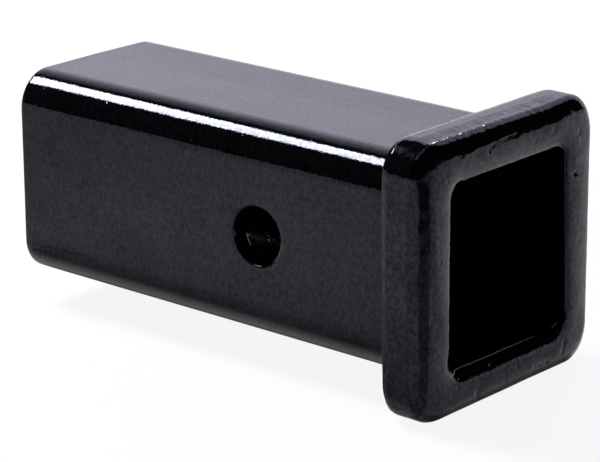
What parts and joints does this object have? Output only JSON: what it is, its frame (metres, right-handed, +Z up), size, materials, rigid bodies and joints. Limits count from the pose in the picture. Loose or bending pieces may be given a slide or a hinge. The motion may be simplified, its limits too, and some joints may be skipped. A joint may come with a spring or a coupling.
{
  "type": "receiver tube",
  "caption": "Square steel receiver tube with a forged reinforcing collar welded round its mouth and a cross hole for a hitch pin; welds to a tow frame and takes a square shank.",
  "frame": {"origin": "where the pin hole's axis crosses the tube's axis", "axes": "+X out of the mouth along the tube, +Y along the pin hole, +Z up"},
  "size_m": [0.162, 0.0812, 0.081],
  "materials": {
    "tube_coat": "gloss black powder coat over smooth drawn tube",
    "collar_coat": "gloss black powder coat over an uneven forging",
    "weld_coat": "gloss black powder coat over weld metal"
  },
  "bodies": {
    "root": {"receiver_tube": "tube_coat", "mouth_collar": "collar_coat", "front_weld": "weld_coat", "rear_weld": "weld_coat"}
  },
  "joints": []
}
